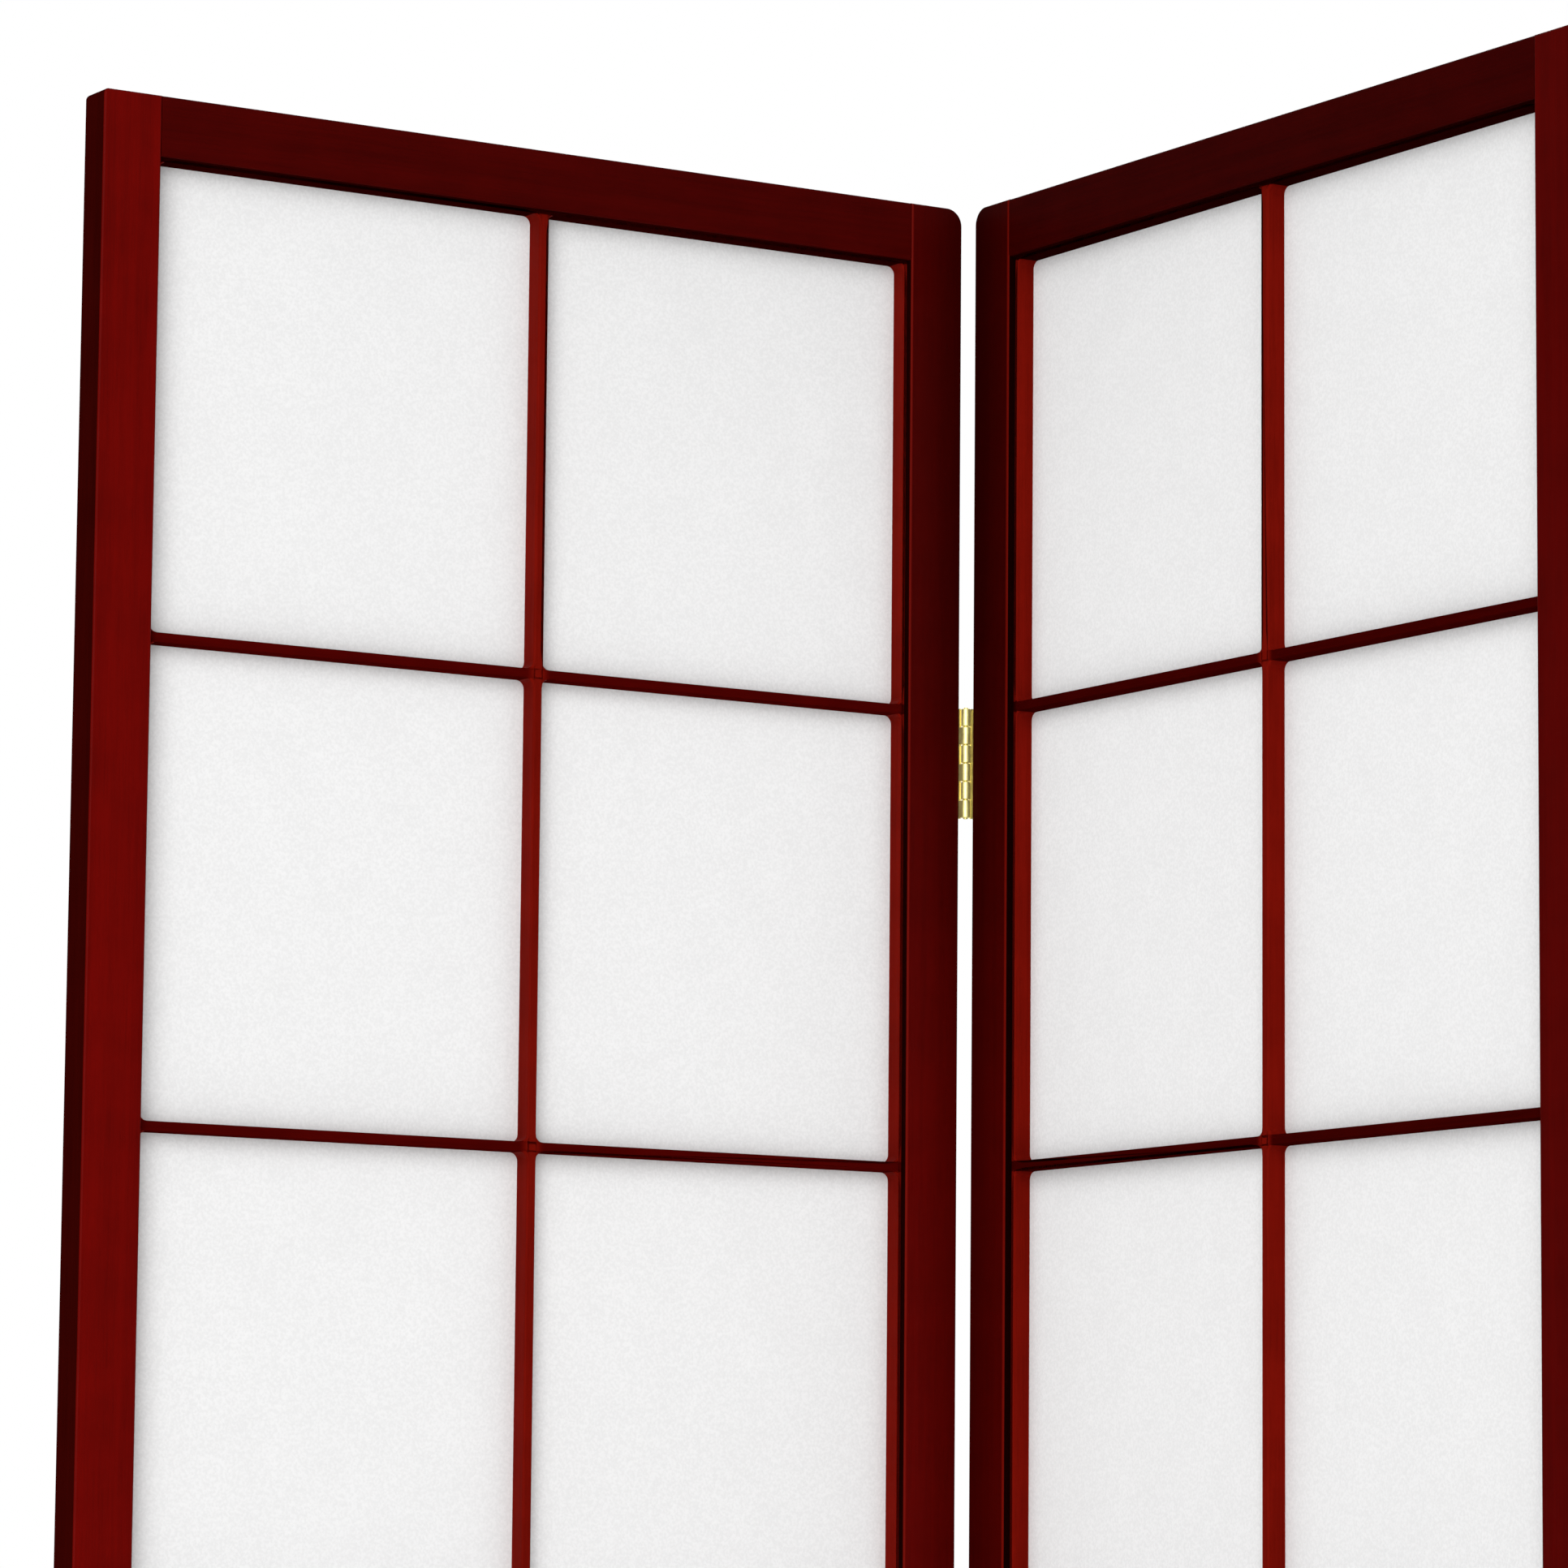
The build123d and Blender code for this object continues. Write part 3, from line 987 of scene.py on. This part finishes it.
class SCREEN_OT_hinges(bpy.types.Operator):
    """Model the two-way hinges: three leaves with interleaved knuckles, pins and screws."""

    bl_idname = "screen.hinges"
    bl_label = "Hinges"

    KNUCKLE_EDGE = 0.45 * MM
    NECK_INSET = 0.2 * MM  # how much a neck is shorter than its knuckle at each end
    NECK_LAP = 1 * MM  # how far a neck reaches into its leaf
    BORE_LAP = 2 * MM  # how far the bore reaches past the leaf's ends
    LEAF_CORNER = 1.5 * MM
    PIN_EDGE = 0.3 * MM
    SCREW_STAGGER = 2 * MM  # how far the screws lie to either side of the leaf's middle
    SCREW_DEPTH = 0.75 * MM
    SCREW_GAP = 0.12 * MM  # between a screw's head and its hole
    SCREW_RISE = 0.2 * MM  # how far the heads stand out of the leaf
    SCREW_EDGE = 0.15 * MM
    RECESS_ARM = 0.42 * MM  # half the width of the cross recess's arms
    RECESS_REACH = 1.6 * MM  # from the middle of the recess to the end of an arm
    RECESS_DEPTH = 0.6 * MM

    def execute(self, context):
        front, rear = -pin_offset(), panel().depth + pin_offset()
        for place in HINGES:
            low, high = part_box(f"{place}_hinge_middle_leaf")
            span = (low.z, high.z)
            self.outer_leaf(place, "left", span, front)
            self.outer_leaf(place, "right", span, rear)
            self.middle_leaf(place, span, front, rear)
            for kind, y in (("front_pin", front), ("rear_pin", rear)):
                self.pin(f"{place}_hinge_{kind}", span, y)
        return {"FINISHED"}

    @staticmethod
    def knuckle_spans(span, middle):
        """The heights of the knuckles that belong to the middle leaf, or to an outer one."""
        count, gap = hinge().knuckles, hinge().gap
        pitch = (span[1] - span[0]) / count
        return [
            (span[0] + n * pitch + gap / 2, span[0] + (n + 1) * pitch - gap / 2)
            for n in range(count) if (n % 2 == 1) == middle
        ]

    def barrel(self, spans, y, sheet, toward):
        """Knuckles on one pin, each with its neck, as one tool."""
        tools = []
        for span in spans:
            ring = rod("knuckle", hinge().barrel, y, span)
            round_edges(
                ring,
                lambda edge: any(both_at(edge, 2, z) for z in span),
                self.KNUCKLE_EDGE, segments=3,
            )
            heights = grown([span], -self.NECK_INSET)[0]
            neck = block("neck", sheet, tuple(sorted((y, toward))), heights)
            tools.append(combine(ring, neck, "UNION"))
        return joined(tools)

    @staticmethod
    def clearing(sheet_edge):
        """How far from a pin's plane a leaf must stop to pass the other knuckles."""
        reach = hinge().barrel + hinge().clearance
        return math.sqrt(reach ** 2 - sheet_edge ** 2)

    def bore(self, leaf, span, y):
        """Bores the pin's hole through a leaf's knuckles."""
        tool = rod("bore", hinge().bore, y, grown([span], self.BORE_LAP)[0], sides=24)
        combine(leaf, tool, "DIFFERENCE")

    def outer_leaf(self, place, side, span, y):
        """The leaf on one panel's stile, with its knuckles and screws."""
        sizes = hinge()
        sheet = (sizes.barrel - sizes.leaf, sizes.barrel)
        notch = self.clearing(sheet[0])
        if side == "left":
            plate = (y + notch, panel().depth - sizes.margin)
            far, toward = plate[1], plate[0] + self.NECK_LAP
        else:
            plate = (sizes.margin, y - notch)
            far, toward = plate[0], plate[1] - self.NECK_LAP
        leaf = block("leaf", sheet, plate, span)
        round_edges(
            leaf,
            lambda edge: runs_along(edge, 0) and both_at(edge, 1, far),
            self.LEAF_CORNER, segments=4,
        )
        knuckles = self.knuckle_spans(span, False)
        combine(leaf, self.barrel(knuckles, y, sheet, toward), "UNION")
        self.bore(leaf, span, y)
        screws = []
        for where in self.screw_places(span):
            hole = self.on_leaf("hole", sizes.screw_head, where, self.SCREW_DEPTH)
            combine(leaf, hole, "DIFFERENCE")
            screws.append(self.screw(where))
        name = f"{place}_hinge_{side}_leaf"
        brass = [finish("bright_brass")]
        give_slots(leaf, 1)
        stand(leaf, f"{name}_brass", side, f"{side}_panel", [name], brass)
        heads = joined(screws)
        give_slots(heads, 1)
        stand(heads, f"{place}_hinge_{side}_screws", side, f"{side}_panel", [], brass)
        discard(leaf)
        discard(heads)

    def screw_places(self, span):
        """The depth and height of each screw, staggered about the leaf's middle."""
        count = hinge().screws
        middle, step = (span[0] + span[1]) / 2, (span[1] - span[0]) / count
        for n in range(count):
            stagger = self.SCREW_STAGGER if n % 2 else -self.SCREW_STAGGER
            yield panel().depth / 2 + stagger, middle + (n - (count - 1) / 2) * step

    @staticmethod
    def on_leaf(name, radius, where, deep):
        """A disc let into the outer leaf's free face."""
        face = hinge().barrel - hinge().leaf
        bpy.ops.object.select_all(action="DESELECT")
        bpy.ops.mesh.primitive_cylinder_add(
            vertices=32, radius=radius, depth=2 * deep, location=(face, *where),
            rotation=(0, math.pi / 2, 0),
        )
        piece = bpy.context.object
        piece.name = name
        bpy.ops.object.transform_apply(location=True, rotation=True, scale=True)
        return piece

    def screw(self, where):
        """A screw's head with a rounded rim and a cross recess, a little out of the leaf."""
        face = hinge().barrel - hinge().leaf
        top = face - self.SCREW_RISE
        head = self.on_leaf(
            "screw", hinge().screw_head - self.SCREW_GAP, where, self.SCREW_DEPTH
        )
        all_y, all_z = (-1, 1), (0, 10)  # metres, more than the screen needs
        outside = block("outside", (face - OVERSHOOT, top), all_y, all_z)
        combine(head, outside, "DIFFERENCE")
        round_edges(head, lambda edge: both_at(edge, 0, top), self.SCREW_EDGE, segments=3)
        y, z = where
        arm, reach = self.RECESS_ARM, self.RECESS_REACH
        depth = (face - 1 * MM, face + self.RECESS_DEPTH)
        for across, up in ((arm, reach), (reach, arm)):
            slot = block("slot", depth, (y - across, y + across), (z - up, z + up))
            combine(head, slot, "DIFFERENCE")
        return head

    def middle_leaf(self, place, span, front, rear):
        """The leaf that links the two pins."""
        half = hinge().leaf / 2
        notch = self.clearing(half)
        plate = (front + notch, rear - notch)
        leaf = block("leaf", (-half, half), plate, span)
        spans = self.knuckle_spans(span, True)
        lap = self.NECK_LAP
        for y, toward in ((front, plate[0] + lap), (rear, plate[1] - lap)):
            combine(leaf, self.barrel(spans, y, (-half, half), toward), "UNION")
            self.bore(leaf, span, y)
        name = f"{place}_hinge_middle_leaf"
        give_slots(leaf, 1)
        stand(leaf, f"{name}_brass", "right", "hinge_links", [name],
              [finish("bright_brass")])
        discard(leaf)

    def pin(self, name, span, y):
        """A pin with rounded ends that stand out of the knuckles."""
        ends = grown([span], hinge().head)[0]
        drawn = rod("pin", hinge().pin, y, ends, sides=28)
        round_edges(
            drawn,
            lambda edge: any(both_at(edge, 2, z) for z in ends),
            self.PIN_EDGE, segments=3,
        )
        give_slots(drawn, 1)
        stand(drawn, f"{name}_brass", "right", "hinge_links", [name],
              [finish("bright_brass")])
        discard(drawn)


class SCREEN_PT_panel(bpy.types.Panel):
    """The steps that make the screen."""

    bl_idname = "SCREEN_PT_panel"
    bl_label = "Folding screen"
    bl_space_type = "VIEW_3D"
    bl_region_type = "UI"
    bl_category = "Screen"

    def draw(self, context):
        for step in STEPS:
            self.layout.operator(step.bl_idname)


STEPS = (
    SCREEN_OT_camera, SCREEN_OT_stiles, SCREEN_OT_rails, SCREEN_OT_lattice, SCREEN_OT_paper,
    SCREEN_OT_beads, SCREEN_OT_hinges, SCREEN_OT_stage,
)
CLASSES = (*GROUPS.values(), *STEPS, SCREEN_PT_panel)


def register():
    for made in CLASSES:
        bpy.utils.register_class(made)
    for name, group in GROUPS.items():
        setattr(bpy.types.Scene, name, bpy.props.PointerProperty(type=group))


def unregister():
    for name in GROUPS:
        delattr(bpy.types.Scene, name)
    for made in reversed(CLASSES):
        bpy.utils.unregister_class(made)


def main():
    register()
    bpy.ops.object.select_all(action="DESELECT")
    bpy.ops.screen.camera()
    bpy.ops.screen.stiles()
    bpy.ops.screen.rails()
    bpy.ops.screen.lattice()
    bpy.ops.screen.paper()
    bpy.ops.screen.beads()
    bpy.ops.screen.hinges()
    bpy.ops.screen.stage()


if __name__ == "__main__":
    main()
